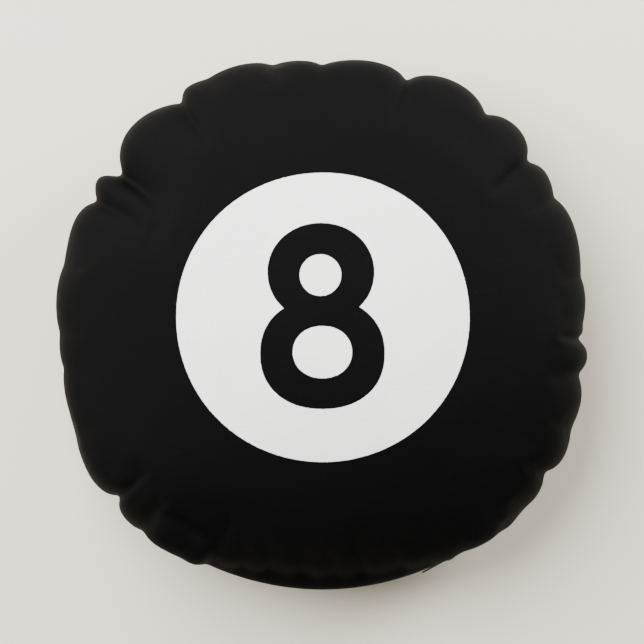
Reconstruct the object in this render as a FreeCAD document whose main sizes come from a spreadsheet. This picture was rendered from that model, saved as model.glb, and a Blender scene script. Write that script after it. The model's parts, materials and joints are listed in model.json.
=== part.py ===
import FreeCAD, Part
import math
import os
import re

import Sketcher

# Round stuffed throw pillow printed as a numbered pool ball, lying on its back.
# A zipped cover of two cloth discs holds a sewn insert stuffed with fibre.
# Millimetres and degrees. +Z is up through the printed face, +Y is the top of the
# numeral, and the origin is on the surface below the middle of the pillow.

DIMENSIONS = [
    # Cover, as stuffed
    ("rim_radius", 184.0),           # widest part of the pillow
    ("half_depth", 56.0),            # crown above the seam plane
    ("shoulder_radius", 20.0),       # rounding from the crown to the seam
    ("seam_pinch", 8.0),             # shoulder centre above the seam plane
    ("rest_patch_radius", 72.0),     # flat where the pillow lies
    ("cloth", 0.5),                  # printed cover cloth
    ("seam_allowance", 10.0),        # cloth turned in past the seam
    ("thread_radius", 0.2),
    ("stitch_inset", 1.6),           # stitch line inside a seam
    ("overlock_depth", 3.0),
    ("overlock_skin", 0.3),
    # Hidden zip in the lower edge
    ("zip_centre_angle", -90.0),
    ("zip_angle", 64.0),
    ("zip_end_margin", 2.0),         # angle from the last tooth to the sewn seam
    ("lip_gap", 1.8),                # between the folded edges over the teeth
    ("lip_depth", 1.2),
    ("tape", 0.4),
    ("tape_width", 12.0),
    ("tape_stitch_inset", 8.5),
    ("tooth_pitch_angle", 0.5),
    ("tooth_length", 0.6),
    ("tooth_depth", 1.2),
    ("tooth_overlap", 0.5),          # how far a tooth passes the middle
    ("rail_width", 0.7),             # the cord that the teeth are wound on
    ("rail_inset", 0.2),
    ("coil_half_width", 1.9),
    ("tack_length", 2.4),
    ("tack_gap", 0.3),
    # Slider
    ("slider_length", 9.0),
    ("slider_plate", 1.0),
    ("slider_side", 1.2),
    ("slider_corner", 1.1),
    ("slide_clearance", 0.3),
    ("channel_clearance", 0.5),      # beside the slider, inside the folded edges
    ("bridge_length", 5.2),
    ("bridge_height", 3.3),          # above the seam line
    ("bridge_bar", 0.9),
    ("bridge_corner", 0.8),
    # Pull tab
    ("pin_radius", 0.5),
    ("pin_clearance", 0.2),
    ("pull_length", 22.0),
    ("pull_half_width", 2.4),
    ("pull_cheek", 0.75),            # each side of the eye that the bridge passes through
    ("pull_thickness", 0.9),
    ("pull_hole_radius", 1.3),
    ("eye_clearance", 0.4),
    ("flare_length", 3.0),
    # Insert, stuffing and labels
    ("insert_cloth", 0.3),
    ("insert_clearance", 0.5),
    ("insert_pinch", 5.0),
    ("insert_allowance", 7.0),
    ("closing_angle", 40.0),         # the stuffing opening, sewn up last
    ("closing_place", 200.0),        # from the middle of the zip
    ("fill_clearance", 0.15),
    ("label_cloth", 0.25),
    ("care_label_angle", 10.0),
    ("care_label_place", 48.0),
    ("care_label_height", 12.0),
    ("law_label_angle", 14.0),
    ("law_label_place", 130.0),
    ("law_label_height", 22.0),
    ("label_clearance", 0.3),
]

# Sizes that follow from the ones above.
DERIVED = [
    ("crown_rise", "half_depth - seam_pinch"),
    ("crown_radius", "((rim_radius - shoulder_radius)^2 + crown_rise^2 - shoulder_radius^2)"
                     " / (2 * (crown_rise - shoulder_radius))"),
    ("mid_height", "half_depth - crown_radius + sqrt(crown_radius^2 - rest_patch_radius^2)"),
    ("seam_radius", "rim_radius - shoulder_radius + sqrt(shoulder_radius^2 - seam_pinch^2)"),
    ("raw_edge", "seam_radius - seam_allowance"),
    ("insert_rim", "seam_radius - tape_width - insert_clearance"),
    ("insert_floor", "cloth + insert_clearance"),
    ("insert_depth", "half_depth - insert_floor"),
    ("insert_crown", "crown_radius - insert_floor"),
    ("insert_rise", "insert_depth - insert_pinch"),
    ("insert_shoulder", "(2 * insert_crown * insert_rise - insert_rim^2 - insert_rise^2)"
                        " / (2 * (insert_crown - insert_rim))"),
    ("insert_seam", "insert_rim - insert_shoulder + sqrt(insert_shoulder^2 - insert_pinch^2)"),
    ("fill_inset", "insert_cloth + fill_clearance"),
    ("fill_slot", "insert_cloth + 2 * thread_radius + fill_clearance"),
    ("lip_half_gap", "lip_gap / 2"),
    ("neck_half_width", "lip_half_gap - slide_clearance"),
    ("plate_top", "lip_depth + slide_clearance"),
    ("coil_front", "plate_top + slider_plate + slide_clearance"),
    ("coil_back", "coil_front + tooth_depth"),
    ("plate_under", "coil_back + tape + slide_clearance"),
    ("tape_leg", "plate_under + slider_plate + slide_clearance"),
    ("cavity_half_width", "coil_half_width + slide_clearance"),
    ("slider_half_width", "cavity_half_width + slider_side"),
    ("tape_slot_half_width", "tape + 1.5 * slide_clearance"),
    ("channel_half_width", "slider_half_width + channel_clearance"),
    ("fold_half_width", "channel_half_width + cloth"),
    ("coil_radius", "seam_radius - coil_back"),
    ("coil_angle", "zip_angle - 2 * zip_end_margin"),
    ("tooth_count", "floor(coil_angle / tooth_pitch_angle)"),
    ("tack_half_angle", "asin(tack_length / 2 / coil_radius) / 1 deg"),
    ("tack_place", "coil_angle / 2 + tack_half_angle + asin(tack_gap / coil_radius) / 1 deg"),
    ("travel_half_angle", "coil_angle / 2 - asin(slider_length / 2 / coil_radius) / 1 deg"),
    ("slider_place", "zip_centre_angle + travel_half_angle"),
    ("pin_reach", "bridge_height - bridge_bar - pin_radius - pin_clearance"),
    ("bridge_half_length", "bridge_length / 2"),
    ("eye_half_width", "neck_half_width + pin_clearance"),
    ("eye_length", "bridge_half_length + eye_clearance"),
    ("pull_root_half_width", "eye_half_width + pull_cheek"),
    ("flare_start", "eye_length + pull_cheek"),
    ("pull_straight", "pull_length - pull_half_width"),
]

SIDES = {"front": 1, "back": -1}
TOLERANCE = 1e-6


def qualify(text):
    """Puts the name of the object that holds it before each named size in an expression."""
    for holder, table in (("dims", DIMENSIONS), ("derived", DERIVED)):
        names = "|".join(name for name, _ in table)
        text = re.sub(rf"(?<![\w.])({names})\b", rf"{holder}.\1", text)
    return text


def make_sizes(doc):
    """The spreadsheet of driving sizes and the set of sizes that follow from them."""
    sheet = doc.addObject("Spreadsheet::Sheet", "dims")
    for row, (name, value) in enumerate(DIMENSIONS, start=1):
        sheet.set(f"A{row}", name)
        sheet.set(f"B{row}", str(value))
        sheet.setAlias(f"B{row}", name)
    doc.recompute()
    derived = doc.addObject("App::VarSet", "derived")
    for name, text in DERIVED:
        derived.addProperty("App::PropertyFloat", name, "Sizes")
        derived.setExpression(name, qualify(text))
        doc.recompute()


def number(obj, text):
    """The value of an expression, as a plain number."""
    value = obj.evalExpression(qualify(text))
    return float(getattr(value, "Value", value))


def bind(obj, path, text):
    obj.setExpression(path, qualify(text))


def place(obj, turn="0", lift="0", reach="0"):
    """Turns an object about the pillow's axis, lifts it and moves it out from the axis."""
    upright = FreeCAD.Rotation(FreeCAD.Vector(0, 0, 1), 1)
    obj.Placement = FreeCAD.Placement(FreeCAD.Vector(0, 0, 0), upright)
    bind(obj, ".Placement.Rotation.Angle", turn)
    bind(obj, ".Placement.Base.x", f"({reach}) * cos({turn})")
    bind(obj, ".Placement.Base.y", f"({reach}) * sin({turn})")
    bind(obj, ".Placement.Base.z", lift)


def new_body(doc, name):
    body = doc.addObject("PartDesign::Body", name)
    body.Label = name
    return body


def new_sketch(body, name, plane="XZ_Plane"):
    """A sketch in one of a body's own planes. In XZ its x is the radius and its y the height."""
    sketch = body.newObject("Sketcher::SketchObject", name)
    support = next(feature for feature in body.Origin.OriginFeatures if feature.Role == plane)
    sketch.AttachmentSupport = [(support, "")]
    sketch.MapMode = "FlatFace"
    return sketch


def make_arc(start, end, radius):
    """An arc from start to end, which runs clockwise where the radius is negative."""
    chord = end - start
    across = FreeCAD.Vector(-chord.y, chord.x, 0).normalize()
    offset = (radius**2 - chord.Length**2 / 4) ** 0.5
    centre = (start + end) * 0.5 + across * (offset if radius > 0 else -offset)
    circle = Part.Circle(centre, FreeCAD.Vector(0, 0, 1), abs(radius))
    first, last = (start, end) if radius > 0 else (end, start)
    return Part.ArcOfCircle(circle, circle.parameter(first), circle.parameter(last))


def draw(sketch, outline):
    """Draws a closed outline of (x, y) corners, each bound to its expressions.

    A corner may have a third entry: the radius of the arc to the next corner, with a
    minus sign for an arc that runs clockwise.
    """
    corners = [FreeCAD.Vector(number(sketch, c[0]), number(sketch, c[1]), 0) for c in outline]
    ends = []
    for i, corner in enumerate(outline):
        start, end = corners[i], corners[(i + 1) % len(corners)]
        if len(corner) == 2:
            line = sketch.addGeometry(Part.LineSegment(start, end), False)
            ends.append((line, 1, 2))
            continue
        radius = number(sketch, corner[2])
        line = sketch.addGeometry(make_arc(start, end, radius), False)
        ends.append((line, 1, 2) if radius > 0 else (line, 2, 1))
        size = sketch.addConstraint(Sketcher.Constraint("Radius", line, abs(radius)))
        bind(sketch, f"Constraints[{size}]", f"abs({corner[2]})")
    for i, (line, _, last) in enumerate(ends):
        following, first, _ = ends[(i + 1) % len(ends)]
        sketch.addConstraint(Sketcher.Constraint("Coincident", line, last, following, first))
    for (line, first, _), corner, point in zip(ends, outline, corners):
        pin_point(sketch, line, first, corner, point)


def pin_point(sketch, line, end, texts, point):
    """Fixes one point of a sketch by its distances from the sketch's axes."""
    for kind, text, value, axis in (("DistanceX", texts[0], point.x, -2),
                                    ("DistanceY", texts[1], point.y, -1)):
        if text == "0":
            sketch.addConstraint(Sketcher.Constraint("PointOnObject", line, end, axis))
            continue
        size = sketch.addConstraint(Sketcher.Constraint(kind, -1, 1, line, end, value))
        bind(sketch, f"Constraints[{size}]", text)


def draw_circle(sketch, x, y, radius):
    centre = FreeCAD.Vector(number(sketch, x), number(sketch, y), 0)
    circle = Part.Circle(centre, FreeCAD.Vector(0, 0, 1), number(sketch, radius))
    line = sketch.addGeometry(circle, False)
    size = sketch.addConstraint(Sketcher.Constraint("Radius", line, circle.Radius))
    bind(sketch, f"Constraints[{size}]", radius)
    pin_point(sketch, line, 3, (x, y), centre)


def revolve(body, name, sketch, angle, centred=True):
    """Turns a sketch about the pillow's axis, centred on the sketch or starting from it."""
    turned = body.newObject("PartDesign::Revolution", name)
    turned.Profile = sketch
    turned.ReferenceAxis = (sketch, ["V_Axis"])
    turned.Midplane = centred
    bind(turned, "Angle", angle)
    sketch.Visibility = False
    return turned


def pad(body, name, sketch, length):
    solid = body.newObject("PartDesign::Pad", name)
    solid.Profile = sketch
    solid.Midplane = True
    bind(solid, "Length", length)
    sketch.Visibility = False
    return solid


def round_corners(body, name, feature, radius, half_length, half_width):
    """Rounds the four edges along X at the outer corners of a feature that is centred on X."""
    far = (number(feature, half_length), number(feature, half_width))
    edges = []
    for i, edge in enumerate(feature.Shape.Edges, start=1):
        middle = edge.CenterOfMass
        if math.dist((abs(middle.y), abs(middle.z)), far) < TOLERANCE:
            edges.append(f"Edge{i}")
    fillet = body.newObject("PartDesign::Fillet", name)
    fillet.Base = (feature, edges)
    bind(fillet, "Radius", radius)


def make_band(doc, name, outline, angle, turn):
    """One section turned about the pillow's axis over an angle, with turn as its middle."""
    body = new_body(doc, name)
    sketch = new_sketch(body, f"{name}_outline")
    draw(sketch, outline)
    revolve(body, f"{name}_band", sketch, angle)
    place(body, turn)
    return body


def make_thread(doc, name, radius, height, angle, turn):
    """A round thread that lies along a circle over an angle, with turn as its middle."""
    thread = doc.addObject("Part::Torus", name)
    thread.Label = name
    bind(thread, "Radius1", radius)
    bind(thread, "Radius2", "thread_radius")
    bind(thread, "Angle3", angle)
    place(thread, f"{turn} - ({angle}) / 2", f"mid_height + {height}")
    return thread


def shell_skin(side, shape, inset):
    """The corners of one skin of a stuffed half, from the axis to the start of its shoulder.

    side is 1 above the seam plane and -1 below it, where the skin is flat on the surface.
    """
    rim, crown, shoulder, depth, pinch, floor = shape
    sign = "+" if side > 0 else "-"
    bend = f"({crown} - {inset})"
    reach = f"({rim} - {shoulder}) / ({crown} - {shoulder})"
    rise = f"({crown} - {depth} + {pinch}) / ({crown} - {shoulder})"
    tangent = (f"{bend} * {reach}", f"mid_height {sign} ({depth} - {crown} + {bend} * {rise})")
    if side > 0:
        return [("0", f"mid_height + {depth} - {inset}", f"-1 * {bend}"), tangent]
    level = f"{floor} + {inset}"
    drop = f"(mid_height - {depth} + {crown} - ({level}))"
    return [("0", level), (f"sqrt({bend}^2 - {drop}^2)", level, bend), tangent]


def waist_radius(shape, inset, offset):
    """The radius of a skin's shoulder at a height offset from the seam plane."""
    rim, _, shoulder, _, pinch, _ = shape
    return f"{rim} - {shoulder} + sqrt(({shoulder} - {inset})^2 - ({pinch} - {offset})^2)"


def half_shell(side, shape, cloth, edge, outer_end, inner_end):
    """The closed outline of half of a stuffed cover: outer skin, turned-in edge, inner skin.

    edge is the turned-in cloth, as (radius, offset from the seam plane), and the two ends
    are the offsets at which the outer and inner skins meet it.
    """
    sign = "+" if side > 0 else "-"
    turn, back = ("-1 * ", "") if side > 0 else ("", "-1 * ")
    _, crown, shoulder, _, _, _ = shape
    outer = shell_skin(side, shape, "0")
    inner = shell_skin(side, shape, cloth)
    outline = outer[:-1]
    outline.append((*outer[-1], f"{turn}{shoulder}"))
    outline.append((waist_radius(shape, "0", outer_end), f"mid_height {sign} {outer_end}"))
    outline += [(radius, f"mid_height {sign} {offset}") for radius, offset in edge]
    inner_waist = (waist_radius(shape, cloth, inner_end), f"mid_height {sign} {inner_end}")
    outline.append((*inner_waist, f"{back}({shoulder} - {cloth})"))
    outline.append((*inner[-1], f"{back}({crown} - {cloth})"))
    outline += [corner[:2] for corner in reversed(inner[:-1])]
    return outline


COVER = ("rim_radius", "crown_radius", "shoulder_radius", "half_depth", "seam_pinch", "0")
INSERT = ("insert_rim", "insert_crown", "insert_shoulder", "insert_depth", "insert_pinch",
          "insert_floor")
SEWN_ANGLE = "360 - zip_angle"
SEWN_MIDDLE = "zip_centre_angle + 180"


def make_cover_panel(doc, name, side):
    """A printed disc of cloth. Its edge turns in where it is sewn, and opens round the zip."""
    body = new_body(doc, name)
    zipped = new_sketch(body, f"{name}_zipped_outline")
    edge = [("seam_radius - lip_depth", "lip_half_gap"),
            ("seam_radius - lip_depth", "channel_half_width"),
            ("raw_edge", "channel_half_width"),
            ("raw_edge", "fold_half_width")]
    draw(zipped, half_shell(side, COVER, "cloth", edge, "lip_half_gap", "fold_half_width"))
    revolve(body, f"{name}_zipped", zipped, "zip_angle")
    sewn = new_sketch(body, f"{name}_sewn_outline")
    half_turn = FreeCAD.Rotation(FreeCAD.Vector(0, 1, 0), 180)
    sewn.AttachmentOffset = FreeCAD.Placement(FreeCAD.Vector(0, 0, 0), half_turn)
    edge = [("raw_edge", "0"), ("raw_edge", "cloth")]
    draw(sewn, half_shell(side, COVER, "cloth", edge, "0", "cloth"))
    revolve(body, f"{name}_sewn", sewn, SEWN_ANGLE)
    place(body, "zip_centre_angle")
    return body


def make_insert_shell(doc, name, side):
    """A disc of plain white cloth, half of the bag that holds the stuffing."""
    inner_edge = "insert_seam - insert_allowance"
    edge = [(inner_edge, "0"), (inner_edge, "insert_cloth")]
    outline = half_shell(side, INSERT, "insert_cloth", edge, "0", "insert_cloth")
    return make_band(doc, name, outline, "360", "0")


def make_fill(doc, name):
    """The stuffing, which closes round the insert's turned-in edge."""
    top = shell_skin(1, INSERT, "fill_inset")
    bottom = shell_skin(-1, INSERT, "fill_inset")
    slot_end = "insert_seam - insert_allowance - fill_clearance"
    waist = waist_radius(INSERT, "fill_inset", "fill_slot")
    shoulder = "-1 * (insert_shoulder - fill_inset)"
    outline = [top[0],
               (*top[1], shoulder),
               (waist, "mid_height + fill_slot"),
               (slot_end, "mid_height + fill_slot"),
               (slot_end, "mid_height - fill_slot"),
               (waist, "mid_height - fill_slot", shoulder),
               (*bottom[2], "-1 * (insert_crown - fill_inset)"),
               bottom[1][:2],
               bottom[0]]
    return make_band(doc, name, outline, "360", "0")


def make_overlock(doc, name):
    """Overcast thread that wraps the two raw edges inside the sewn part of the seam."""
    root = "raw_edge + overlock_depth"
    tip = "raw_edge - overlock_skin"
    outside = "(cloth + overlock_skin)"
    outline = [(root, f"mid_height + {outside}"), (tip, f"mid_height + {outside}"),
               (tip, f"mid_height - {outside}"), (root, f"mid_height - {outside}"),
               (root, "mid_height - cloth"), ("raw_edge", "mid_height - cloth"),
               ("raw_edge", "mid_height + cloth"), (root, "mid_height + cloth")]
    return make_band(doc, name, outline, SEWN_ANGLE, SEWN_MIDDLE)


def make_tape(doc, name, side):
    """One tape of the zip: behind its teeth, in through the slider's slot, then out to the cloth."""
    sign = "+" if side > 0 else "-"
    near, far = "slide_clearance / 2", "slide_clearance / 2 + tape"
    knee = "seam_radius - tape_leg - channel_half_width / 2"
    path = [("coil_radius", near), ("coil_radius", "coil_half_width"),
            ("coil_radius - tape", "coil_half_width"), ("coil_radius - tape", far),
            ("seam_radius - tape_leg", far), (knee, "channel_half_width"),
            ("seam_radius - tape_width", "channel_half_width"),
            ("seam_radius - tape_width", "channel_half_width - tape"),
            (knee, "channel_half_width - tape"), ("seam_radius - tape_leg", near)]
    outline = [(radius, f"mid_height {sign} ({offset})") for radius, offset in path]
    return make_band(doc, name, outline, "zip_angle", "zip_centre_angle")


def make_coil(doc, name, side):
    """One row of nylon teeth on its rail. The two rows stand half a pitch apart."""
    body = new_body(doc, name)
    sign = "+" if side > 0 else "-"
    front = "seam_radius - coil_front"
    outer = f"mid_height {sign} coil_half_width"
    tip = f"mid_height {sign} (-1 * tooth_overlap)"
    rail_front, rail_back = f"{front} - rail_inset", "coil_radius + rail_inset"
    rail_outer = f"mid_height {sign} (coil_half_width - rail_inset)"
    rail_root = f"mid_height {sign} (coil_half_width - rail_width)"
    rail = new_sketch(body, f"{name}_rail_outline")
    draw(rail, [(rail_back, rail_root), (rail_front, rail_root),
                (rail_front, rail_outer), (rail_back, rail_outer)])
    revolve(body, f"{name}_rail", rail, "(tooth_count - 1) * tooth_pitch_angle", centred=False)
    tooth = new_sketch(body, f"{name}_tooth_outline")
    draw(tooth, [("coil_radius", tip), (front, tip), (front, outer), ("coil_radius", outer)])
    first = pad(body, f"{name}_tooth", tooth, "tooth_length")
    doc.recompute()
    teeth = body.newObject("PartDesign::PolarPattern", f"{name}_teeth")
    teeth.Originals = [first]
    teeth.Axis = (rail, ["V_Axis"])
    teeth.Mode = "Spacing"
    bind(teeth, "Offset", "tooth_pitch_angle")
    bind(teeth, "Occurrences", "tooth_count")
    body.Tip = teeth
    shift = "tooth_pitch_angle / 4" if side > 0 else "tooth_pitch_angle * 3 / 4"
    place(body, f"zip_centre_angle - coil_angle / 2 + {shift}")
    return body


def make_tack(doc, name, end):
    """Close stitches over both tapes past the last tooth. end is 1 or -1 along the zip."""
    front = "seam_radius - coil_front"
    top, bottom = "mid_height + coil_half_width", "mid_height - coil_half_width"
    outline = [("coil_radius", bottom), (front, bottom), (front, top), ("coil_radius", top)]
    turn = f"zip_centre_angle + {end} * tack_place"
    return make_band(doc, name, outline, "2 * tack_half_angle", turn)


def make_slider(doc, name):
    """The slider: a case round both rows of teeth, slotted for the tapes, and a bridge outside."""
    body = new_body(doc, name)
    case = new_sketch(body, f"{name}_case_outline")
    top, cavity_top = "-1 * plate_top", "slide_clearance - coil_front"
    under, bottom = "-1 * plate_under", "-1 * plate_under - slider_plate"
    half = [(top, "slider_half_width"), (bottom, "slider_half_width"),
            (bottom, "tape_slot_half_width"), (under, "tape_slot_half_width"),
            (under, "cavity_half_width"), (cavity_top, "cavity_half_width")]
    draw(case, half + [(x, f"-1 * {z}") for x, z in reversed(half)])
    plates = pad(body, f"{name}_case", case, "slider_length")
    doc.recompute()
    round_corners(body, f"{name}_corners", plates, "slider_corner", "slider_length / 2", "slider_half_width")
    bridge = new_sketch(body, f"{name}_bridge_outline", "XY_Plane")
    corner_height = "bridge_height - bridge_corner"
    corner_place = "bridge_half_length - bridge_corner"
    draw(bridge, [(top, "-1 * bridge_half_length"),
                  (corner_height, "-1 * bridge_half_length", "bridge_corner"),
                  ("bridge_height", f"-1 * ({corner_place})"),
                  ("bridge_height", corner_place, "bridge_corner"),
                  (corner_height, "bridge_half_length"),
                  (top, "bridge_half_length")])
    low, high = "pin_reach - pin_radius - pin_clearance", "bridge_height - bridge_bar"
    post = "bridge_half_length - bridge_bar"
    draw(bridge, [(low, f"-1 * ({post})"), (high, f"-1 * ({post})"), (high, post), (low, post)])
    pad(body, f"{name}_bridge", bridge, "2 * neck_half_width")
    place(body, "slider_place", "mid_height", "seam_radius")
    return body


def make_pull(doc, name):
    """The pull tab: a fork round the bridge, closed by the pin that the bridge holds."""
    body = new_body(doc, name)
    plan = new_sketch(body, f"{name}_plan", "YZ_Plane")
    flare = "-1 * (flare_start + flare_length)"
    draw(plan, [("0", "pull_root_half_width"), ("-1 * flare_start", "pull_root_half_width"),
                (flare, "pull_half_width"), ("-1 * pull_straight", "pull_half_width", "pull_half_width"),
                ("-1 * pull_length", "0", "pull_half_width"),
                ("-1 * pull_straight", "-1 * pull_half_width"), (flare, "-1 * pull_half_width"),
                ("-1 * flare_start", "-1 * pull_root_half_width"), ("0", "-1 * pull_root_half_width"),
                ("0", "-1 * eye_half_width"), ("-1 * eye_length", "-1 * eye_half_width"),
                ("-1 * eye_length", "eye_half_width"), ("0", "eye_half_width")])
    draw_circle(plan, "-1 * pull_straight", "0", "pull_hole_radius")
    pad(body, f"{name}_tab", plan, "pull_thickness")
    pin = new_sketch(body, f"{name}_pin_outline", "XY_Plane")
    draw_circle(pin, "0", "0", "pin_radius")
    pad(body, f"{name}_pin", pin, "2 * pull_root_half_width")
    place(body, "slider_place", "mid_height", "seam_radius + pin_reach")
    return body


def make_care_label(doc, name):
    """A blank label sewn to the front allowance inside the cover, and standing up from it."""
    foot = "seam_radius - stitch_inset - 2 * thread_radius"
    wall = "raw_edge + overlock_depth + label_clearance"
    base = "mid_height + cloth"
    top = f"{base} + care_label_height"
    outline = [(foot, base), (foot, f"{base} + label_cloth"),
               (f"{wall} + label_cloth", f"{base} + label_cloth"), (f"{wall} + label_cloth", top),
               (wall, top), (wall, base)]
    return make_band(doc, name, outline, "care_label_angle", "zip_centre_angle + care_label_place")


def make_law_label(doc, name):
    """A blank label sewn into the insert's seam, and standing up beside the insert."""
    foot = waist_radius(INSERT, "0", "label_cloth")
    wall = "insert_rim + label_clearance"
    top = "mid_height + law_label_height"
    outline = [(foot, "mid_height"), (f"{wall} + label_cloth", "mid_height"),
               (f"{wall} + label_cloth", top), (wall, top), (wall, "mid_height + label_cloth"),
               (foot, "mid_height + label_cloth")]
    return make_band(doc, name, outline, "law_label_angle", "zip_centre_angle + law_label_place")


def make_seam_threads(doc):
    """The two threads of each line of lockstitch, one on each side of the cloths that they join."""
    cover_seam, insert_seam = "seam_radius - stitch_inset", "insert_seam - stitch_inset"
    tape_seam = "seam_radius - tape_stitch_inset"
    closed_angle, closed_middle = "360 - closing_angle", "zip_centre_angle + closing_place + 180"
    on_cloth = "(cloth + thread_radius)"
    on_insert = "(insert_cloth + thread_radius)"
    on_tape = "(channel_half_width - tape - thread_radius)"
    on_fold = "(fold_half_width + thread_radius)"
    threads = [
        make_thread(doc, "cover_seam_needle_thread", cover_seam, on_cloth, SEWN_ANGLE, SEWN_MIDDLE),
        make_thread(doc, "cover_seam_bobbin_thread", cover_seam, f"-1 * {on_cloth}", SEWN_ANGLE, SEWN_MIDDLE),
        make_thread(doc, "insert_seam_needle_thread", insert_seam, on_insert, closed_angle, closed_middle),
        make_thread(doc, "insert_seam_bobbin_thread", insert_seam, f"-1 * {on_insert}", closed_angle,
                    closed_middle),
        make_thread(doc, "insert_closing_thread", insert_seam, on_insert, "closing_angle - 2 * stitch_inset",
                    "zip_centre_angle + closing_place"),
    ]
    for word, side in SIDES.items():
        threads.append(make_thread(doc, f"zip_{word}_needle_thread", tape_seam, f"{side} * {on_tape}",
                                   "zip_angle", "zip_centre_angle"))
        threads.append(make_thread(doc, f"zip_{word}_bobbin_thread", tape_seam, f"{side} * {on_fold}",
                                   "zip_angle", "zip_centre_angle"))
    return threads


def check(doc, parts):
    """Stops if anything failed to compute, or if a part is not one sound solid."""
    for obj in doc.Objects:
        if "Invalid" in obj.State or "Error" in obj.State:
            raise RuntimeError(f"{obj.Label} did not compute")
    for part in parts:
        shape = part.Shape
        if shape.isNull() or not shape.isValid() or len(shape.Solids) != 1:
            raise RuntimeError(f"{part.Label} is not one sound solid")
        print(f"{part.Label}: {shape.Volume:.1f} cubic millimetres")


def main():
    doc = FreeCAD.newDocument("pillow")
    make_sizes(doc)
    parts = [make_fill(doc, "fibre_fill"),
             make_overlock(doc, "cover_edge_overlock"),
             make_care_label(doc, "care_label"),
             make_law_label(doc, "law_label"),
             make_slider(doc, "zip_slider"),
             make_pull(doc, "zip_pull"),
             make_tack(doc, "zip_closed_end_tack", 1),
             make_tack(doc, "zip_open_end_tack", -1)]
    for word, side in SIDES.items():
        parts += [make_cover_panel(doc, f"cover_{word}_panel", side),
                  make_insert_shell(doc, f"insert_{word}_shell", side),
                  make_tape(doc, f"zip_{word}_tape", side),
                  make_coil(doc, f"zip_{word}_coil", side)]
    parts += make_seam_threads(doc)
    doc.recompute()
    check(doc, parts)
    os.makedirs("parts", exist_ok=True)
    for part in parts:
        part.Shape.exportStep(f"parts/{part.Label}.step")


main()
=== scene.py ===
import json
import math

import bmesh
import bpy
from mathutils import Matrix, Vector, noise


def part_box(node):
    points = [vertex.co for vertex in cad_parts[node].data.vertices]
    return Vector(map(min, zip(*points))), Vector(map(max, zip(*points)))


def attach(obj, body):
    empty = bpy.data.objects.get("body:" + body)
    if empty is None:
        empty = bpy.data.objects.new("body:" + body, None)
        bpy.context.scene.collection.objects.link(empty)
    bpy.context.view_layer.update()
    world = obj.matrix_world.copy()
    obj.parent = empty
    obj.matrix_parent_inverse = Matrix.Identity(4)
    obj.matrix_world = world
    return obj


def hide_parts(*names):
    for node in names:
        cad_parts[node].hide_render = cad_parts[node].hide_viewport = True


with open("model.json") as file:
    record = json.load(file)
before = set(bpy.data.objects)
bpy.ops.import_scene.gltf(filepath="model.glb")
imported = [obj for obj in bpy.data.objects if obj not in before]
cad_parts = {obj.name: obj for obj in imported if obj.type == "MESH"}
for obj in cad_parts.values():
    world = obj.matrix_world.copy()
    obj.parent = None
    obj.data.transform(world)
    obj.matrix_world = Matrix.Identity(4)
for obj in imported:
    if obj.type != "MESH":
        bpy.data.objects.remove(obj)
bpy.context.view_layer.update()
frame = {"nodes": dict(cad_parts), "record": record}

# A round stuffed pillow with a zipped knit cover, printed as a numbered pool ball. Metres.

panelLow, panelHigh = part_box("cover_front_panel")
seamHeight = panelLow[2]
rimRadius = panelHigh[0]
crownHeight = panelHigh[2] - seamHeight
tapeLow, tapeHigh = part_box("zip_front_tape")
zipHalfAngle = math.asin(tapeHigh[0] / -tapeLow[1])
zipMiddle = math.radians(270)

cover = {
    "cutRadius": 0.2032,        # each disc of knit, before it was sewn and stuffed
    "cells": 80,                # across the square grid in the middle of each disc
    "rings": 34,                # from that grid out to the cut edge
    "gridReach": 0.098,
    "gridRoundness": 0.55,
    "shoulderRadius": 0.020,
    "seamPinch": 0.008,
    "squareness": 0.0042,       # the knit stretches more on its two bias lines
    "squareFrom": 0.4,          # shares of the way from the crown to the seam, here and below
    "shoulderFrom": 0.8,
    "shoulderTo": 0.92,
    "grooveFrom": 0.92,
    "grooveTo": 0.972,
    "lobeFullness": 0.6,
    "foldReach": 0.1,
    "foldLeast": 0.05,
    "foldPerDepth": 0.016,
    "foldDrift": 0.02,          # radians, so that the folds of front and back don't quite meet
    "deepestSeam": 0.0135,      # the seam itself stays outside the insert, in the deepest gather too
    "seamFrom": 0.9,
    "seamTo": 0.99,
    "restBlend": 0.004,         # how softly the back meets the surface it lies on
    "restEase": 4,              # the rest blend reaches this many times its own height
    "broadLumps": (14, 0.0008),   # how many to a metre, and how high
    "fineLumps": (36, 0.0003),
    "lipHalfGap": 0.0009,       # the zip's lips stand this far from the seam plane
    "lipDepth": 0.0012,
    "lipStep": 0.0002,
    "channelHalfWidth": 0.0040,
    "pullReach": 0.10,          # radians past the zip's ends that the pull can lie over
    "pullFade": 0.09,
    "allowance": 0.010,
    "clothThickness": 0.0006,
}

filling = {
    "frames": 18,
    "quality": 6,
    "mass": 0.0005,
    "tension": 20,
    "shear": 6,
    "bending": 0.3,
    "airDamping": 4,
    "pressure": 3.0,
    "startGap": 0.001,
    "moveLimit": 0.009,
}

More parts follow.
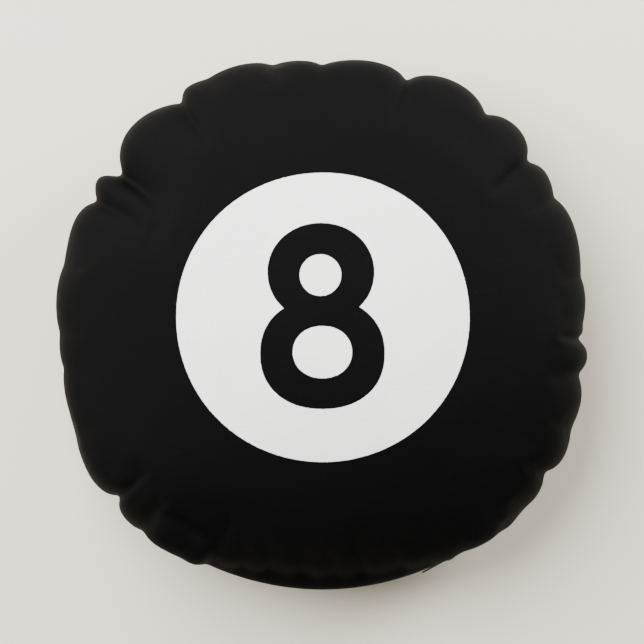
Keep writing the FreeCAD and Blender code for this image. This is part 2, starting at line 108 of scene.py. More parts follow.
# Gathers round the seam: degrees round from the right, the depth of the gather, and how far the cloth
# puffs out between it and the next one, in millimetres.
gathers = [
    (0, -3.4, 5.0), (10, -2.0, 5.0), (28, 2.4, 1.0), (38, 7.5, 4.4), (52, 4.5, 6.2), (71, 5.0, 5.0),
    (90, 0.8, 3.4), (101, -0.6, 5.8), (114.5, -2.2, 3.6), (122.5, 6.0, 2.2), (144, 22.0, -1.4),
    (152, 9.0, 2.4), (168, -1.0, 4.8), (182, -0.8, 2.2), (190, 0.2, 2.8), (206, -4.4, 7.0),
    (220.5, 3.6, 5.0), (229, -2.4, 6.2), (238, -5.0, 5.4), (245, 4.4, -1.4), (252, 4.6, -3.0),
    (258, 7.0, -4.2), (266, 7.6, -3.4), (273, 5.4, -3.2), (279, 5.6, -2.6), (288, 4.0, -1.4),
    (294, 3.0, 0.4), (302, 0.4, 3.8), (317, -1.2, 4.0), (326, 1.4, 7.2), (337, -4.4, 6.8),
    (348.5, -0.8, 7.6), (356.5, 1.8, 4.2),
]


def meridian(share):
    # Radius and height above the seam, at a share of the way from the crown to the seam.
    shoulder, pinch = cover["shoulderRadius"], cover["seamPinch"]
    rise = crownHeight - pinch
    flat = rimRadius - shoulder
    crownRadius = (flat**2 + rise**2 - shoulder**2) / (2 * (rise - shoulder))
    crownTurn = math.asin(flat / (crownRadius - shoulder))
    shoulderTurn = math.pi / 2 - crownTurn + math.asin(pinch / shoulder)
    crownLength = crownRadius * crownTurn
    along = share * (crownLength + shoulder * shoulderTurn)
    if along < crownLength:
        turn = along / crownRadius
        place = (crownRadius * math.sin(turn), crownHeight - crownRadius + crownRadius * math.cos(turn))
    else:
        turn = crownTurn + (along - crownLength) / shoulder
        place = (flat + shoulder * math.sin(turn), pinch + shoulder * math.cos(turn))
    return place, turn


def smoothStep(low, high, value):
    step = min(max((value - low) / (high - low), 0), 1)
    return step * step * (3 - 2 * step)


def gatherAt(angle):
    # How far the rim stands out at an angle, and how far inward the nearest fold reaches.
    degrees = math.degrees(angle) % 360
    for i, (start, startDepth, puff) in enumerate(gathers):
        end, endDepth, _ = gathers[(i + 1) % len(gathers)]
        span = (end - start) % 360
        offset = (degrees - start) % 360
        if offset <= span:
            share = offset / span
            depth = startDepth * (1 - share) + endDepth * share
            lobe = math.sin(math.pi * share) ** cover["lobeFullness"]
            reach = cover["foldLeast"] + cover["foldPerDepth"] * max(depth, 0) * (1 - lobe)
            return (puff * lobe - depth * (1 - lobe)) / 1000, min(reach, cover["foldReach"])
    return 0, cover["foldLeast"]


def byZip(angle, margin, fade):
    # One along the zip and as far past its ends as the margin, and fading to nothing beyond.
    away = abs((angle - zipMiddle + math.pi) % (2 * math.pi) - math.pi)
    return 1 - smoothStep(zipHalfAngle + margin, zipHalfAngle + margin + fade, away)


def grooveAt(angle, share):
    # How much of the cloth beside the zip is held in its groove, where the pull lies against it.
    held = smoothStep(cover["grooveFrom"], cover["grooveTo"], share)
    return byZip(angle, cover["pullReach"], cover["pullFade"]) * held


def inZip(angle, margin=0.0):
    away = (angle - zipMiddle + math.pi) % (2 * math.pi) - math.pi
    return abs(away) < zipHalfAngle + margin


def growEdge(bm, ring, moved):
    # Extrudes a loop of edges, and moves each new point by a function of the point.
    grown = bmesh.ops.extrude_edge_only(bm, edges=ring)["geom"]
    for item in grown:
        if isinstance(item, bmesh.types.BMVert):
            item.co = moved(item)
    return [item for item in grown if isinstance(item, bmesh.types.BMEdge)]


def easedPlace(point):
    # Turns each square loop of a grid part way to a circle.
    reach = max(abs(point.x), abs(point.y), 1e-9)
    turned = Vector((math.tan(point.x / reach * math.pi / 4), math.tan(point.y / reach * math.pi / 4), 0))
    rounded = cover["gridRoundness"]
    return turned * reach * (1 - rounded + rounded / max(turned.length, 1e-9)) * cover["gridReach"]


def grownPlace(point, ringsLeft):
    # The next place outwards when this many even steps are left to the cut edge.
    return point * (1 + (cover["cutRadius"] / point.length - 1) / ringsLeft)


def discMesh(name, cells, rings):
    # Two discs of cloth joined at their edge, laid flat. Their UV map is their place in the flat cloth.
    bm = bmesh.new()
    sideLayer = bm.verts.layers.int.new("side")
    bmesh.ops.create_grid(bm, x_segments=cells, y_segments=cells, size=1)
    for vert in bm.verts:
        vert.co = easedPlace(vert.co)
    edge = [item for item in bm.edges if item.is_boundary]
    for left in range(rings, 0, -1):
        edge = growEdge(bm, edge, lambda vert: grownPlace(vert.co, left))
    bmesh.ops.recalc_face_normals(bm, faces=bm.faces)
    if sum(face.normal.z for face in bm.faces) < 0:
        bmesh.ops.reverse_faces(bm, faces=bm.faces)
    for vert in bm.verts:
        vert[sideLayer] = 1
    copied = bmesh.ops.duplicate(bm, geom=bm.verts[:] + bm.edges[:] + bm.faces[:])["geom"]
    for item in copied:
        if isinstance(item, bmesh.types.BMVert):
            item[sideLayer] = -1
    bmesh.ops.reverse_faces(bm, faces=[item for item in copied if isinstance(item, bmesh.types.BMFace)])
    edge = [vert for vert in bm.verts if vert.co.length > cover["cutRadius"] * 0.9999]
    bmesh.ops.remove_doubles(bm, verts=edge, dist=1e-6)
    uvLayer = bm.loops.layers.uv.new("cloth")
    for face in bm.faces:
        for loop in face.loops:
            loop[uvLayer].uv = loop.vert.co.xy
    mesh = bpy.data.meshes.new(name)
    bm.to_mesh(mesh)
    bm.free()
    return mesh


def stuffedPlace(flat, side):
    # Where a point of the flat disc goes as the pillow is stuffed.
    share = flat.length / cover["cutRadius"]
    angle = math.atan2(flat.y, flat.x)
    (radius, height), turn = meridian(share)
    out, reach = gatherAt(angle + cover["foldDrift"] * (1 - share) * side)
    nearSeam = smoothStep(cover["seamFrom"], cover["seamTo"], share)
    out += (max(out, -cover["deepestSeam"]) - out) * nearSeam
    fold = smoothStep(1 - reach * 4, 1, share)
    shoulderFold = smoothStep(cover["shoulderFrom"], cover["shoulderTo"], share)
    square = cover["squareness"] * -math.cos(4 * angle) * smoothStep(cover["squareFrom"], 1, share)
    nearZip = byZip(angle, cover["pullReach"], cover["pullFade"])
    fold += (shoulderFold - fold) * nearZip
    fold *= 1 - grooveAt(angle, share)
    square *= 1 - grooveAt(angle, share)
    radius += (out * fold) * math.sin(turn) + square
    height += out * fold * math.cos(turn)
    return Vector((radius * math.cos(angle), radius * math.sin(angle), seamHeight + side * height))


def inflate():
    # Cloth simulation of the sewn cover: rest lengths are those of the flat discs.
    mesh = discMesh("coverCloth", cover["cells"], cover["rings"])
    sides = [item.value for item in mesh.attributes["side"].data]
    cloth = bpy.data.objects.new("coverCloth", mesh)
    bpy.context.scene.collection.objects.link(cloth)
    cloth.shape_key_add(name="stuffed")
    flatKey = cloth.shape_key_add(name="flat")
    flat = [vert.co.copy() for vert in mesh.vertices]
    for i, point in enumerate(flat):
        place = stuffedPlace(point, sides[i])
        cloth.data.shape_keys.key_blocks["stuffed"].data[i].co = place
        flatKey.data[i].co = point + Vector((0, 0, filling["startGap"] * sides[i]))
        mesh.vertices[i].co = place
    rim = [i for i, point in enumerate(flat) if point.length > cover["cutRadius"] * 0.999]
    held = cloth.vertex_groups.new(name="zipEdge")
    held.add([i for i in rim if inZip(math.atan2(flat[i].y, flat[i].x), cover["pullReach"])], 1.0, "REPLACE")
    started = [vert.co.copy() for vert in mesh.vertices]
    modifier = cloth.modifiers.new("stuffing", "CLOTH")
    settings = modifier.settings
    settings.quality = filling["quality"]
    settings.mass = filling["mass"]
    settings.tension_stiffness = filling["tension"]
    settings.compression_stiffness = filling["tension"]
    settings.shear_stiffness = filling["shear"]
    settings.bending_stiffness = filling["bending"]
    settings.air_damping = filling["airDamping"]
    settings.use_pressure = True
    settings.uniform_pressure_force = filling["pressure"]
    settings.rest_shape_key = flatKey
    settings.vertex_group_mass = "zipEdge"
    settings.effector_weights.gravity = 0
    modifier.collision_settings.use_collision = False
    modifier.point_cache.frame_end = filling["frames"]
    for step in range(1, filling["frames"] + 1):
        bpy.context.scene.frame_set(step)
    solved = cloth.evaluated_get(bpy.context.evaluated_depsgraph_get()).to_mesh()
    places = [vert.co.copy() for vert in solved.vertices]
    cloth.modifiers.remove(modifier)
    bpy.context.scene.frame_set(1)
    for i, place in enumerate(places):
        move = place - started[i]
        if move.length > filling["moveLimit"]:
            move = move.normalized() * filling["moveLimit"]
        groove = grooveAt(math.atan2(flat[i].y, flat[i].x), flat[i].length / cover["cutRadius"])
        places[i] = started[i] + move * (1 - groove)
    cloth.shape_key_clear()
    bpy.data.objects.remove(cloth)
    rim.sort(key=lambda i: math.atan2(flat[i].y, flat[i].x) % (2 * math.pi))
    return mesh, [settled(place) for place in places], rim


def settled(place):
    # The stuffing is a little lumpy, and the back lies flat where it meets the surface.
    height = place.z
    for closeness, swell in (cover["broadLumps"], cover["fineLumps"]):
        height += noise.noise(place * closeness) * swell
    blend = cover["restBlend"]
    top = cover["restEase"] * blend
    if height < top:
        height = 0.5 * (height + math.sqrt(height**2 + blend**2)) * smoothStep(-1.5 * top, top, height)
    return Vector((place.x, place.y, height))


def zipOpen(angle):
    return byZip(angle, -0.012, 0.026)


def turnedIn(place, inset, sewnHeight, zipHeight):
    # A point of cloth turned in past the seam, by its distance from the fold and from the seam plane.
    angle = math.atan2(place.y, place.x)
    opened = zipOpen(angle)
    radius = math.hypot(place.x, place.y) - inset
    height = place.z * (1 - opened) + seamHeight * opened + sewnHeight * (1 - opened) + zipHeight * opened
    return Vector((radius * math.cos(angle), radius * math.sin(angle), height))


def newPiece(name, bm, body="pillow"):
    mesh = bpy.data.meshes.new(name)
    bm.to_mesh(mesh)
    bm.free()
    for polygon in mesh.polygons:
        polygon.use_smooth = True
    piece = bpy.data.objects.new(name, mesh)
    bpy.context.scene.collection.objects.link(piece)
    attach(piece, body)
    return piece


def keepSide(bm, side):
    # Leaves one of the two discs, and returns the loop of edges round it.
    sideLayer = bm.verts.layers.int["side"]
    uvLayer = bm.loops.layers.uv["cloth"]
    rimLength = cover["cutRadius"] * 0.999
    otherSide = []
    for face in bm.faces:
        if side not in [loop.vert[sideLayer] for loop in face.loops if loop[uvLayer].uv.length < rimLength]:
            otherSide.append(face)
    bmesh.ops.delete(bm, geom=otherSide, context="FACES")
    return [edge for edge in bm.edges if edge.is_boundary]


def panelPiece(name, side, mesh, places):
    # One printed disc of the cover, with its edge turned in past the seam or round the zip.
    bm = bmesh.new()
    bm.from_mesh(mesh)
    for vert, place in zip(bm.verts, places):
        vert.co = place
    ring = keepSide(bm, side)
    gap, wall = cover["lipHalfGap"] * side, cover["channelHalfWidth"] * side
    touch = cover["clothThickness"] / 2 * side
    for vert in {vert for edge in ring for vert in edge.verts}:
        vert.co = turnedIn(vert.co, 0, 0.2 * touch, gap)
    turns = [(cover["lipDepth"], 0.8 * touch, gap), (cover["lipStep"], 0, wall),
             (cover["allowance"] - cover["lipDepth"], 0, wall)]
    for inset, sewnHeight, zipHeight in turns:
        ring = growEdge(bm, ring, lambda vert: turnedIn(vert.co, inset, sewnHeight, zipHeight))
    piece = newPiece(name, bm)
    fullness = piece.modifiers.new("fullness", "SUBSURF")
    fullness.levels = 1
    fullness.render_levels = 1
    return piece


seam = {
    "threadInset": 0.0016,
    "threadRadius": 0.0002,
    "threadSides": 6,
    "overlockDepth": 0.003,
    "overlockSkin": 0.0003,
}


def seamBand(name, section, seamPlaces):
    # A closed section carried along the sewn seam. Each corner is a distance in and a height.
    count = len(seamPlaces)
    bm = bmesh.new()
    spokeLayer = bm.verts.layers.int.new("spoke")
    bmesh.ops.create_circle(bm, segments=count, radius=rimRadius)
    bm.verts.ensure_lookup_table()
    for i, vert in enumerate(bm.verts):
        vert[spokeLayer] = i
    sewn = {i for i, place in enumerate(seamPlaces) if not inZip(math.atan2(place.y, place.x), 0.01)}
    bmesh.ops.delete(bm, geom=[vert for vert in bm.verts if vert[spokeLayer] not in sewn], context="VERTS")

    def corner(vert, inset, height):
        return turnedIn(seamPlaces[vert[spokeLayer]], inset, height, height)

    ring = bm.edges[:]
    for vert in bm.verts:
        vert.co = corner(vert, *section[0])
    for inset, height in section[1:] + section[:1]:
        ring = growEdge(bm, ring, lambda vert: corner(vert, inset, height))
    bmesh.ops.remove_doubles(bm, verts=bm.verts, dist=1e-6)
    bmesh.ops.holes_fill(bm, edges=[edge for edge in bm.edges if edge.is_boundary], sides=0)
    bmesh.ops.recalc_face_normals(bm, faces=bm.faces)
    return newPiece(name, bm)


def threadSection(inset, height):
    corners = []
    for i in range(seam["threadSides"]):
        turn = 2 * math.pi * i / seam["threadSides"]
        across, up = seam["threadRadius"] * math.cos(turn), seam["threadRadius"] * math.sin(turn)
        corners.append((inset + across, height + up))
    return corners


insert = {
    "share": 0.925,      # the size of the insert against the cover
    "fillShare": 0.912,
    "looseness": 0.004,  # how deep a gather has to be before it presses into the insert
    "dentFrom": 0.6,
    "shellRipple": 0.0015,
    "fillRipple": 0.001,
    "rippleCloseness": 60,
    "allowance": 0.004,
    "halfThickness": 0.0002,
    "cells": 36,
    "rings": 14,
}


def insertPlace(flat, side, share):
    # The insert and its stuffing follow the cover's form, and of its folds only the deepest.
    angle = math.atan2(flat.y, flat.x)
    flatShare = flat.length / cover["cutRadius"]
    (radius, height), turn = meridian(flatShare)
    dent = min(gatherAt(angle)[0] + insert["looseness"], 0) * smoothStep(insert["dentFrom"], 1, flatShare)
    radius += dent * math.sin(turn)
    height += dent * math.cos(turn)
    place = Vector((radius * math.cos(angle), radius * math.sin(angle), side * height)) * share
    return settled(place + Vector((0, 0, seamHeight)))


def insertPiece(name, keep, share, ripple):
    # One half of the insert, or with keep 0 the whole of its stuffing.
    mesh = discMesh(name, insert["cells"], insert["rings"])
    bm = bmesh.new()
    bm.from_mesh(mesh)
    bpy.data.meshes.remove(mesh)
    sideLayer = bm.verts.layers.int["side"]
    for vert in bm.verts:
        vert.co = insertPlace(vert.co, vert[sideLayer], share)
        outward = (vert.co - Vector((0, 0, seamHeight))).normalized()
        vert.co += outward * noise.noise(vert.co * insert["rippleCloseness"]) * ripple
    if keep:
        ring = keepSide(bm, keep)
        apart = insert["halfThickness"] * keep
        growEdge(bm, ring, lambda vert: turnedIn(vert.co, insert["allowance"], apart, apart))
    return newPiece(name, bm)


def feed(tree, made, inputs):
    # Links or sets each named or numbered input of a node.
    for key, value in inputs.items():
        if isinstance(value, bpy.types.NodeSocket):
            tree.links.new(value, made.inputs[key])
        else:
            made.inputs[key].default_value = value


def addNode(tree, kind, inputs=None, **settings):
    made = tree.nodes.new(kind)
    for key, value in settings.items():
        setattr(made, key, value)
    feed(tree, made, inputs or {})
    return made


def calc(tree, operation, *values):
    inputs = dict(enumerate(values))
    return addNode(tree, "ShaderNodeMath", inputs, operation=operation).outputs[0]


def newGroup(name, inputs, outputs):
    # A node group with named inputs, each with its usual value, and named outputs.
    tree = bpy.data.node_groups.new(name, "ShaderNodeTree")
    for title, usual in inputs.items():
        kind = "NodeSocketVector" if usual is None else "NodeSocketFloat"
        socket = tree.interface.new_socket(name=title, in_out="INPUT", socket_type=kind)
        if usual is not None:
            socket.default_value = usual
    for title in outputs:
        tree.interface.new_socket(name=title, in_out="OUTPUT", socket_type="NodeSocketFloat")
    return tree, tree.nodes.new("NodeGroupInput"), tree.nodes.new("NodeGroupOutput")


def useGroup(tree, group, inputs):
    made = tree.nodes.new("ShaderNodeGroup")
    made.node_tree = group
    feed(tree, made, inputs)
    return made.outputs


def ovalGroup():
    # A rounded oval with a crisp edge, for the printed disc and the curves of the figure.
    usual = {"Place": None, "Centre X": 0, "Centre Y": 0, "Half Width": 1, "Half Height": 1,
             "Power": 2, "Edge": 0.01}
    tree, given, result = newGroup("printedOval", usual, ["Mask"])
    sizes = given.outputs
    place = addNode(tree, "ShaderNodeSeparateXYZ", {0: sizes["Place"]}).outputs
    total = 0.0
    for axis, half in (("X", "Half Width"), ("Y", "Half Height")):
        offset = calc(tree, "SUBTRACT", place[axis], sizes[f"Centre {axis}"])
        away = calc(tree, "ABSOLUTE", calc(tree, "DIVIDE", offset, sizes[half]))
        total = calc(tree, "ADD", total, calc(tree, "POWER", away, sizes["Power"]))
    size = calc(tree, "POWER", total, calc(tree, "DIVIDE", 1.0, sizes["Power"]))
    inside = calc(tree, "MULTIPLY", calc(tree, "SUBTRACT", 1.0, size), sizes["Half Width"])
    mask = calc(tree, "ADD", calc(tree, "DIVIDE", inside, sizes["Edge"]), 0.5)
    tree.links.new(addNode(tree, "ShaderNodeClamp", {0: mask}).outputs[0], result.inputs["Mask"])
    return tree


def knitGroup():
    # Columns of small V stitches, with their height and a slight change of tone from stitch to stitch.
    usual = {"Place": None, "Column": 0.001, "Course": 0.0008}
    tree, given, result = newGroup("knitStitches", usual, ["Height", "Tone"])
    place = addNode(tree, "ShaderNodeSeparateXYZ", {0: given.outputs["Place"]}).outputs
    column = calc(tree, "DIVIDE", place["X"], given.outputs["Column"])
    course = calc(tree, "DIVIDE", place["Y"], given.outputs["Course"])
    slope = calc(tree, "PINGPONG", column, 0.5)
    slanted = calc(tree, "ADD", course, calc(tree, "MULTIPLY", slope, 1.3))
    legs = calc(tree, "SINE", calc(tree, "MULTIPLY", slanted, 2 * math.pi))
    rib = calc(tree, "SINE", calc(tree, "MULTIPLY", slope, 2 * math.pi))
    loops = calc(tree, "MULTIPLY", calc(tree, "ADD", calc(tree, "MULTIPLY", legs, 0.5), 0.5),
                 calc(tree, "ADD", calc(tree, "MULTIPLY", rib, 0.5), 0.5))
    stitch = {"X": calc(tree, "FLOOR", column), "Y": calc(tree, "FLOOR", course)}
    cells = addNode(tree, "ShaderNodeCombineXYZ", stitch)
    chance = addNode(tree, "ShaderNodeTexWhiteNoise", {0: cells.outputs[0]}, noise_dimensions="3D")
    tree.links.new(loops, result.inputs["Height"])
    tree.links.new(chance.outputs["Value"], result.inputs["Tone"])
    return tree


def fibreGroup():
    # Loose fibre ends and lint over a cloth, and the broad patchiness of its dye.
    usual = {"Place": None, "Size": 0.004}
    tree, given, result = newGroup("looseFibre", usual, ["Height", "Lint", "Patches"])
    scaled = addNode(tree, "ShaderNodeVectorMath", {0: given.outputs["Place"]}, operation="SCALE")
    tree.links.new(calc(tree, "DIVIDE", 1.0, given.outputs["Size"]), scaled.inputs["Scale"])
    curl = {"Vector": scaled.outputs[0], "Scale": 9.0, "Detail": 3.0, "Distortion": 1.2}
    fuzz = addNode(tree, "ShaderNodeTexNoise", curl)
    specks = {"Vector": scaled.outputs[0], "Scale": 0.55, "Randomness": 1.0}
    spots = addNode(tree, "ShaderNodeTexVoronoi", specks)
    nearby = {0: spots.outputs["Distance"], 1: 0.035, 2: 0.015, 3: 0.0, 4: 1.0}
    lint = addNode(tree, "ShaderNodeMapRange", nearby)
    cloudy = {"Vector": scaled.outputs[0], "Scale": 0.09, "Detail": 2.0}
    broad = addNode(tree, "ShaderNodeTexNoise", cloudy)
    tree.links.new(fuzz.outputs["Fac"], result.inputs["Height"])
    tree.links.new(lint.outputs[0], result.inputs["Lint"])
    tree.links.new(broad.outputs["Fac"], result.inputs["Patches"])
    return tree


def strandGroup():
    # The twisted plies of a sewing thread, or the ribs of a tape, as slanted bands.
    usual = {"Place": None, "Pitch": 0.0006, "Slant": 0.7}
    tree, given, result = newGroup("twistedStrands", usual, ["Height"])
    place = addNode(tree, "ShaderNodeSeparateXYZ", {0: given.outputs["Place"]}).outputs
    across = calc(tree, "ADD", place["X"], place["Y"])
    slanted = calc(tree, "ADD", across, calc(tree, "MULTIPLY", place["Z"], given.outputs["Slant"]))
    turns = calc(tree, "MULTIPLY", calc(tree, "DIVIDE", slanted, given.outputs["Pitch"]), 2 * math.pi)
    band = calc(tree, "ADD", calc(tree, "MULTIPLY", calc(tree, "SINE", turns), 0.5), 0.5)
    tree.links.new(band, result.inputs["Height"])
    return tree


printedOval = ovalGroup()
knitStitches = knitGroup()
looseFibre = fibreGroup()
twistedStrands = strandGroup()


def newMaterial(name, **sockets):
    # A material with one Principled shader, whose constant sockets are set here.
    made = bpy.data.materials.new(name)
    made.use_nodes = True
    shader = made.node_tree.nodes["Principled BSDF"]
    for title, value in sockets.items():
        shader.inputs[title.replace("_", " ")].default_value = value
    return made, made.node_tree, shader


def bumpFrom(tree, shader, height, distance, strength=1.0):
    bump = addNode(tree, "ShaderNodeBump", {"Height": height, "Distance": distance, "Strength": strength})
    tree.links.new(bump.outputs[0], shader.inputs["Normal"])


def blendColour(tree, factor, first, second, kind="MIX"):
    mixed = addNode(tree, "ShaderNodeMix", data_type="RGBA", blend_type=kind)
    feed(tree, mixed, {0: factor, 6: first, 7: second})
    return mixed.outputs[2]


printed = {
    "black": (0.0011, 0.0011, 0.0012, 1),
    "white": (0.90, 0.892, 0.88, 1),
    "lint": (0.12, 0.12, 0.125, 1),
    "disc": (0.0006, 0.0037, 0.0980, 0.0966, 2.0),        # centre, half sizes and power of each oval
    "upperBowl": (-0.0007, 0.0336, 0.0355, 0.0328, 2.05),
    "lowerBowl": (0.0003, -0.0205, 0.0414, 0.0368, 2.2),
    "upperHole": (-0.0010, 0.0316, 0.0137, 0.0137, 2.0),
    "lowerHole": (0.0003, -0.0194, 0.0195, 0.0172, 2.1),
    "edge": 0.0005,
    "bleed": 0.0006,        # how far the ink's edge wanders along the yarn
    "column": 0.0011,
    "course": 0.0008,
}


def printedKnit(name, mirrored):
    # The knit of the cover: black with a printed white disc and the figure 8.
    made, tree, shader = newMaterial(name, Roughness=0.55, Specular_IOR_Level=0.032)
    uv = addNode(tree, "ShaderNodeUVMap", uv_map="cloth").outputs[0]
    flip = (-1 if mirrored else 1, 1, 1)
    place = addNode(tree, "ShaderNodeMapping", {"Vector": uv, "Scale": flip}).outputs[0]
    wobble = addNode(tree, "ShaderNodeTexNoise", {"Vector": place, "Scale": 900.0, "Detail": 1.0})
    centred = {0: wobble.outputs["Color"], 1: (0.5, 0.5, 0.5)}
    offset = addNode(tree, "ShaderNodeVectorMath", centred, operation="SUBTRACT")
    bleed = {0: offset.outputs[0], "Scale": printed["bleed"]}
    shift = addNode(tree, "ShaderNodeVectorMath", bleed, operation="SCALE")
    inked = addNode(tree, "ShaderNodeVectorMath", {0: place, 1: shift.outputs[0]}, operation="ADD").outputs[0]
    masks = {}
    for oval in ("disc", "upperBowl", "lowerBowl", "upperHole", "lowerHole"):
        x, y, wide, high, power = printed[oval]
        sizes = {"Place": inked, "Centre X": x, "Centre Y": y, "Half Width": wide, "Half Height": high,
                 "Power": power, "Edge": printed["edge"]}
        masks[oval] = useGroup(tree, printedOval, sizes)["Mask"]
    bowls = calc(tree, "MAXIMUM", masks["upperBowl"], masks["lowerBowl"])
    holes = calc(tree, "MAXIMUM", masks["upperHole"], masks["lowerHole"])
    figure = calc(tree, "MULTIPLY", bowls, calc(tree, "SUBTRACT", 1.0, holes))
    white = calc(tree, "MULTIPLY", masks["disc"], calc(tree, "SUBTRACT", 1.0, figure))
    stitches = {"Place": place, "Column": printed["column"], "Course": printed["course"]}
    knit = useGroup(tree, knitStitches, stitches)
    fibre = useGroup(tree, looseFibre, {"Place": place, "Size": 0.004})
    inks = blendColour(tree, white, printed["black"], printed["white"])
    shade = calc(tree, "ADD", calc(tree, "MULTIPLY", knit["Tone"], 0.07),
                 calc(tree, "ADD", calc(tree, "MULTIPLY", fibre["Patches"], 0.1), 0.87))
    grey = addNode(tree, "ShaderNodeCombineXYZ", {0: shade, 1: shade, 2: shade}).outputs[0]
    toned = blendColour(tree, 1.0, inks, grey, "MULTIPLY")
    coloured = blendColour(tree, calc(tree, "MULTIPLY", fibre["Lint"], 0.35), toned, printed["lint"])
    tree.links.new(coloured, shader.inputs["Base Color"])
    height = calc(tree, "ADD", knit["Height"], calc(tree, "MULTIPLY", fibre["Height"], 0.8))
    bumpFrom(tree, shader, height, 0.00022, 0.6)
    return made


def threadMaterial(name, colour, pitch=0.0006):
    made, tree, shader = newMaterial(name, Roughness=0.75, Specular_IOR_Level=0.15)
    place = addNode(tree, "ShaderNodeTexCoord").outputs["Object"]
    strands = useGroup(tree, twistedStrands, {"Place": place, "Pitch": pitch, "Slant": 1.2})
    # Painted shade: the thread's colour is darker in the grooves between its twisted plies, where the
    # strands' height is low.
    paintedGrooveShade = tuple(0.6 * channel for channel in colour[:3]) + (1,)
    tree.links.new(blendColour(tree, strands["Height"], paintedGrooveShade, colour), shader.inputs["Base Color"])
    bumpFrom(tree, shader, strands["Height"], 0.00008, 0.7)
    return made


def tapeMaterial(name, colour):
    # Woven zip tape: two sets of slanted ribs make its herringbone.
    made, tree, shader = newMaterial(name, Roughness=0.85, Specular_IOR_Level=0.12)
    place = addNode(tree, "ShaderNodeTexCoord").outputs["Object"]
    rising = useGroup(tree, twistedStrands, {"Place": place, "Pitch": 0.0007, "Slant": 1.0})["Height"]
    falling = useGroup(tree, twistedStrands, {"Place": place, "Pitch": 0.0007, "Slant": -1.0})["Height"]
    ribs = calc(tree, "MAXIMUM", rising, falling)
    fibre = useGroup(tree, looseFibre, {"Place": place, "Size": 0.002})
    # Painted shade: the tape's colour is darker in the hollows between its ribs, where the rib height is low.
    paintedGrooveShade = tuple(0.5 * channel for channel in colour[:3]) + (1,)
    tree.links.new(blendColour(tree, ribs, paintedGrooveShade, colour), shader.inputs["Base Color"])
    height = calc(tree, "ADD", ribs, calc(tree, "MULTIPLY", fibre["Height"], 0.4))
    bumpFrom(tree, shader, height, 0.00012, 0.7)
    return made


def nylonMaterial(name, colour):
    made, tree, shader = newMaterial(name, Specular_IOR_Level=0.3, IOR=1.5)
    place = addNode(tree, "ShaderNodeTexCoord").outputs["Object"]
    grain = {"Vector": place, "Scale": 2500.0, "Detail": 3.0}
    marks = addNode(tree, "ShaderNodeTexNoise", grain).outputs["Fac"]
    rough = addNode(tree, "ShaderNodeMapRange", {0: marks, 1: 0.3, 2: 0.7, 3: 0.3, 4: 0.5}).outputs[0]
    worn = tuple(min(1, channel * 2.2 + 0.004) for channel in colour[:3]) + (1,)
    mixed = blendColour(tree, calc(tree, "MULTIPLY", marks, 0.4), colour, worn)
    tree.links.new(mixed, shader.inputs["Base Color"])
    tree.links.new(rough, shader.inputs["Roughness"])
    bumpFrom(tree, shader, marks, 0.00003, 0.5)
    return made


def enamelMaterial(name):
    # Black enamel over die-cast zinc, rubbed through to bare metal in small chips and scratches.
    made, tree, shader = newMaterial(name, IOR=1.5, Specular_IOR_Level=0.3, Coat_Roughness=0.2)
    place = addNode(tree, "ShaderNodeTexCoord").outputs["Object"]
    grain = {"Vector": place, "Scale": 900.0, "Detail": 4.0, "Roughness": 0.6}
    chips = addNode(tree, "ShaderNodeTexNoise", grain).outputs["Fac"]
    drawn = {"Vector": place, "Rotation": (0, 0, 0.5), "Scale": (400, 5000, 3000)}
    stretched = addNode(tree, "ShaderNodeMapping", drawn).outputs[0]
    lines = {"Vector": stretched, "Scale": 1.0, "Detail": 1.0}
    scratches = addNode(tree, "ShaderNodeTexNoise", lines).outputs["Fac"]
    worn = calc(tree, "MAXIMUM", chips, calc(tree, "MULTIPLY", scratches, 0.93))
    bare = addNode(tree, "ShaderNodeMapRange", {0: worn, 1: 0.66, 2: 0.72, 3: 0.0, 4: 1.0}).outputs[0]
    enamel, metal = (0.012, 0.012, 0.013, 1), (0.45, 0.44, 0.42, 1)
    tree.links.new(blendColour(tree, bare, enamel, metal), shader.inputs["Base Color"])
    tree.links.new(bare, shader.inputs["Metallic"])
    rough = addNode(tree, "ShaderNodeMapRange", {0: chips, 1: 0.3, 2: 0.75, 3: 0.22, 4: 0.42}).outputs[0]
    tree.links.new(rough, shader.inputs["Roughness"])
    coat = addNode(tree, "ShaderNodeMapRange", {0: bare, 3: 0.2, 4: 0.0}).outputs[0]
    tree.links.new(coat, shader.inputs["Coat Weight"])
    bumpFrom(tree, shader, calc(tree, "SUBTRACT", 1.0, bare), 0.00002, 0.6)
    return made


def plainClothMaterial(name, colour, size):
    # White lining cloth, ribbon or stuffing: a fine crossed weave with loose fibre over it.
    made, tree, shader = newMaterial(name, Roughness=0.9, Specular_IOR_Level=0.2, Sheen_Weight=0.2)
    place = addNode(tree, "ShaderNodeTexCoord").outputs["Object"]
    knit = useGroup(tree, knitStitches, {"Place": place, "Column": size, "Course": size})
    fibre = useGroup(tree, looseFibre, {"Place": place, "Size": size * 5})
    creamy = tuple(channel * warm for channel, warm in zip(colour[:3], (0.9, 0.88, 0.83))) + (1,)
    tree.links.new(blendColour(tree, fibre["Patches"], colour, creamy), shader.inputs["Base Color"])
    height = calc(tree, "ADD", calc(tree, "MULTIPLY", knit["Height"], 0.5), fibre["Height"])
    bumpFrom(tree, shader, height, size * 0.3, 0.6)
    return made


def dress(target, finish):
    target.data.materials.clear()
    target.data.materials.append(finish)


blackThread = threadMaterial("blackThread", (0.006, 0.006, 0.0065, 1))
whiteThread = threadMaterial("whiteThread", (0.78, 0.77, 0.74, 1))
zipTape = tapeMaterial("zipTape", (0.004, 0.004, 0.0045, 1))
zipNylon = nylonMaterial("zipNylon", (0.005, 0.005, 0.0055, 1))
blackEnamel = enamelMaterial("blackEnamel")
insertCloth = plainClothMaterial("insertCloth", (0.82, 0.82, 0.80, 1), 0.0006)
labelRibbon = plainClothMaterial("labelRibbon", (0.85, 0.85, 0.85, 1), 0.0003)
stuffingFibre = plainClothMaterial("stuffingFibre", (0.86, 0.86, 0.84, 1), 0.002)


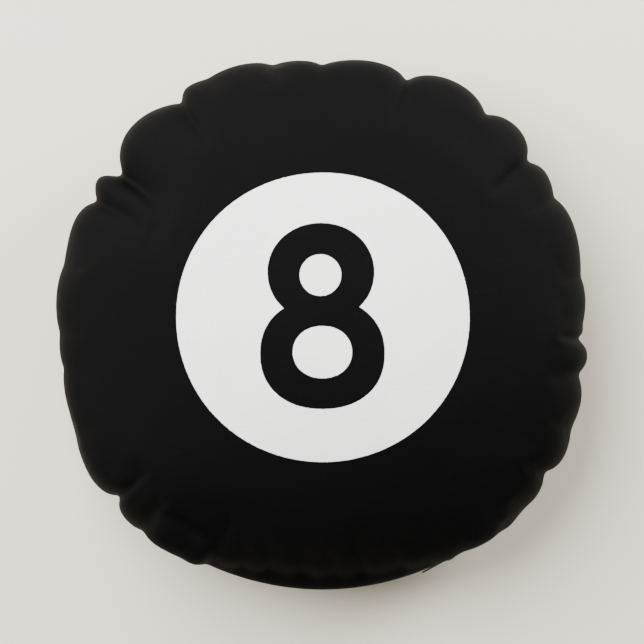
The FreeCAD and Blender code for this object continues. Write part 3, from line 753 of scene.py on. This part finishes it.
def makeCover():
    mesh, places, rim = inflate()
    print("cover stuffed")
    front = panelPiece("coverFront", 1, mesh, places)
    back = panelPiece("coverBack", -1, mesh, places)
    for piece, node, mirrored in ((front, "cover_front_panel", False), (back, "cover_back_panel", True)):
        dress(piece, printedKnit(f"{piece.name}Knit", mirrored))
        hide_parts(node)
    print("panels sewn")
    seamPlaces = [places[i] for i in rim]
    height = cover["clothThickness"] + seam["threadRadius"]
    for name, side in (("Needle", 1), ("Bobbin", -1)):
        section = threadSection(seam["threadInset"], side * height)
        thread = seamBand(f"coverSeam{name}Thread", section, seamPlaces)
        dress(thread, blackThread)
        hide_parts(f"cover_seam_{name.lower()}_thread")
    edge, skin = cover["allowance"], seam["overlockSkin"]
    outside = cover["clothThickness"] + skin
    root = edge - seam["overlockDepth"]
    inside = outside - skin
    section = [(root, outside), (edge + skin, outside), (edge + skin, -outside), (root, -outside),
               (root, -inside), (edge, -inside), (edge, inside), (root, inside)]
    overlock = seamBand("coverEdgeOverlock", section, seamPlaces)
    dress(overlock, blackThread)
    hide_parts("cover_edge_overlock")
    print("seam threads laid")


def makeInsert():
    for name, side in (("Front", 1), ("Back", -1)):
        shell = insertPiece(f"insert{name}", side, insert["share"], insert["shellRipple"])
        dress(shell, insertCloth)
        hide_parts(f"insert_{name.lower()}_shell")
    stuffing = insertPiece("stuffing", 0, insert["fillShare"], insert["fillRipple"])
    dress(stuffing, stuffingFibre)
    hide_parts("fibre_fill")
    print("insert filled")


def dressZip():
    finishes = {"black_thread": blackThread, "white_thread": whiteThread, "zip_tape": zipTape,
                "zip_nylon": zipNylon, "black_enamel": blackEnamel, "label_satin": labelRibbon}
    for part in frame["record"]["subparts"]:
        if part["material_slot"] in finishes:
            dress(frame["nodes"][part["node"]], finishes[part["material_slot"]])
    print("zip and labels dressed")


stage = {
    "floorSize": 6.0,
    "floorColour": (0.67, 0.62, 0.52, 1),
    "cameraHeight": 3.0,
    "viewWidth": 0.4422,      # what the camera takes in at the height of the rim
    "keyPlace": (-1.2, 1.0, 1.35),
    "keySize": 3.0,
    "keyPower": 260,
    "fillPlace": (1.5, 1.1, 0.5),
    "fillSize": 0.8,
    "fillPower": 95,
    "skyStrength": 0.5,
    "skyColour": (1, 0.955, 0.87, 1),
}


def makeStage():
    bm = bmesh.new()
    bmesh.ops.create_grid(bm, x_segments=1, y_segments=1, size=stage["floorSize"] / 2)
    mesh = bpy.data.meshes.new("floor")
    bm.to_mesh(mesh)
    bm.free()
    floor = bpy.data.objects.new("floor", mesh)
    bpy.context.scene.collection.objects.link(floor)
    colour = stage["floorColour"]
    dress(floor, newMaterial("paleFloor", Base_Color=colour, Roughness=0.9, Specular_IOR_Level=0.1)[0])
    middle = Vector((0, 0, seamHeight))
    for name in ("key", "fill"):
        light = bpy.data.lights.new(name, "AREA")
        light.shape = "DISK"
        light.size = stage[f"{name}Size"]
        light.energy = stage[f"{name}Power"]
        lamp = bpy.data.objects.new(name, light)
        lamp.location = stage[f"{name}Place"]
        lamp.rotation_euler = (middle - lamp.location).to_track_quat("-Z", "Y").to_euler()
        bpy.context.scene.collection.objects.link(lamp)
    world = bpy.data.worlds.new("softSky")
    world.use_nodes = True
    sky = world.node_tree.nodes["Background"]
    sky.inputs["Color"].default_value = stage["skyColour"]
    sky.inputs["Strength"].default_value = stage["skyStrength"]
    bpy.context.scene.world = world
    camera = bpy.data.cameras.new("camera")
    distance = stage["cameraHeight"] - seamHeight
    camera.sensor_width = 36  # millimetres
    camera.lens = camera.sensor_width * distance / stage["viewWidth"]
    viewer = bpy.data.objects.new("camera", camera)
    viewer.location = (0, 0, stage["cameraHeight"])
    bpy.context.scene.collection.objects.link(viewer)
    bpy.context.scene.camera = viewer
    print("stage set")


makeCover()
makeInsert()
dressZip()
makeStage()
